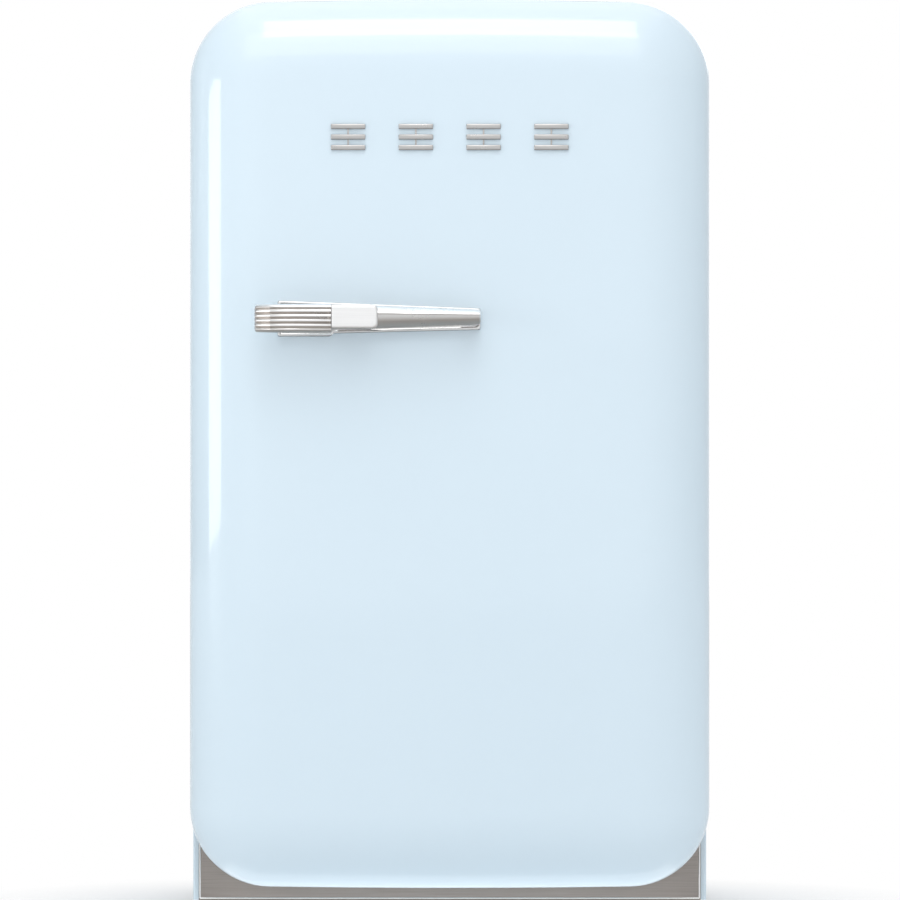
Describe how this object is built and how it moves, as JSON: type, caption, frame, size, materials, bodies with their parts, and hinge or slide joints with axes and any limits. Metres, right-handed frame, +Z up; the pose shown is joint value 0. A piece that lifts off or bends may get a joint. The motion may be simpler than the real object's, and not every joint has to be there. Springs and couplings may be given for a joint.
{
  "type": "compact refrigerator",
  "caption": "One-door compact refrigerator with a pillow-shaped rounded door, horizontal pull handle, glass shelves, door bins and an absorption cooling unit on its back.",
  "frame": {"origin": "centre of the overall footprint on the floor, under the feet", "axes": "+Z up, -Y out of the front of the door, +X to the right of someone facing the door, the hinge side"},
  "size_m": [0.404, 0.54, 0.715],
  "materials": {
    "blue_enamel": "pale blue gloss enamel",
    "white_enamel": "white enamel",
    "white_plastic": "white moulded plastic, satin",
    "insulation_foam": "rigid insulating foam",
    "zinc_steel": "zinc-coated steel sheet",
    "satin_steel": "satin grey steel",
    "foot_rubber": "black rubber",
    "bracket_chrome": "plated steel",
    "trim_chrome": "polished",
    "satin_nickel": "satin nickel plate",
    "pin_steel": "turned steel",
    "shelf_glass": "clear toughened glass",
    "fin_aluminium": "bare",
    "black_steel": "black painted steel tube",
    "lens_plastic": "frosted clear plastic",
    "bin_plastic": "clear plastic",
    "black_plastic": "black moulded plastic",
    "gasket_rubber": "pale grey soft vinyl",
    "bush_nylon": "natural nylon",
    "magnet_iron": "ferrite"
  },
  "bodies": {
    "cabinet": {"cabinet_wrap": "blue_enamel", "front_frame": "white_enamel", "cabinet_liner": "white_plastic", "cabinet_foam": "insulation_foam", "rear_panel": "zinc_steel", "cabinet_floor": "zinc_steel", "base_rail_left": "zinc_steel", "base_rail_right": "zinc_steel", "plinth": "satin_steel", "rear_foot_left": "foot_rubber", "rear_foot_right": "foot_rubber", "upper_hinge_bracket": "bracket_chrome", "upper_hinge_pin": "pin_steel", "lower_hinge_bracket": "bracket_chrome", "lower_hinge_pin": "pin_steel", "upper_shelf_glass": "shelf_glass", "upper_shelf_trim": "trim_chrome", "lower_shelf_glass": "shelf_glass", "lower_shelf_trim": "trim_chrome", "evaporator_fins": "fin_aluminium", "evaporator_tube": "black_steel", "drip_tray": "white_plastic", "control_housing": "white_plastic", "lamp_lens": "lens_plastic", "thermostat_body": "zinc_steel", "door_switch": "black_plastic", "boiler_casing": "zinc_steel", "boiler_insulation": "insulation_foam", "rising_tube": "black_steel", "heater_cartridge": "pin_steel", "absorber_vessel": "black_steel", "absorber_coil": "black_steel", "gas_heat_exchanger": "black_steel", "condenser_tube": "black_steel", "condenser_fins": "fin_aluminium", "terminal_box": "black_plastic", "terminal_cover": "black_plastic", "cord_gland": "black_plastic", "spacer_bar": "black_plastic"},
    "door": {"door_skin": "blue_enamel", "door_foam": "insulation_foam", "door_liner": "white_plastic", "door_gasket": "gasket_rubber", "switch_magnet": "magnet_iron", "upper_hinge_cup": "white_plastic", "lower_hinge_cup": "white_plastic", "upper_hinge_bush": "bush_nylon", "lower_hinge_bush": "bush_nylon", "handle_base": "trim_chrome", "handle_grip": "satin_nickel", "handle_cap": "satin_nickel", "badge": "trim_chrome", "bottle_rail": "trim_chrome"},
    "upper_bin": {"upper_door_bin": "bin_plastic"},
    "lower_bin": {"lower_door_bin": "bin_plastic"},
    "knob": {"thermostat_knob": "black_plastic"},
    "left_foot": {"front_foot_pad_left": "foot_rubber"},
    "left_stud": {"front_foot_stud_left": "pin_steel"},
    "right_foot": {"front_foot_pad_right": "foot_rubber"},
    "right_stud": {"front_foot_stud_right": "pin_steel"}
  },
  "joints": [
    {"name": "door_hinge", "type": "hinge", "parent": "cabinet", "child": "door", "pos_m": [0.186, -0.175, 0.3685], "axis": [0, 0, 1], "range_deg": [0, 105]},
    {"name": "upper_bin_lift", "type": "slide", "parent": "door", "child": "upper_bin", "axis": [0, 0, 1], "range_m": [0, 0.02]},
    {"name": "lower_bin_lift", "type": "slide", "parent": "door", "child": "lower_bin", "axis": [0, 0, 1], "range_m": [0, 0.02]},
    {"name": "thermostat_turn", "type": "hinge", "parent": "cabinet", "child": "knob", "pos_m": [0.05, -0.088, 0.65385], "axis": [0, -1, 0], "range_deg": [0, 270]},
    {"name": "left_foot_slide", "type": "slide", "parent": "cabinet", "child": "left_foot", "axis": [0, 0, -1], "range_m": [0, 0.006]},
    {"name": "left_stud_turn", "type": "hinge", "parent": "left_foot", "child": "left_stud", "pos_m": [-0.177, -0.122, 0.02], "axis": [0, 0, 1], "range_deg": [0, 1728]},
    {"name": "right_foot_slide", "type": "slide", "parent": "cabinet", "child": "right_foot", "axis": [0, 0, -1], "range_m": [0, 0.006]},
    {"name": "right_stud_turn", "type": "hinge", "parent": "right_foot", "child": "right_stud", "pos_m": [0.177, -0.122, 0.02], "axis": [0, 0, 1], "range_deg": [0, 1728]}
  ],
  "couplings": [
    {"joint": "left_stud_turn", "follows": "left_foot_slide", "rad_per_m": 5026.5},
    {"joint": "right_stud_turn", "follows": "right_foot_slide", "rad_per_m": 5026.5}
  ]
}
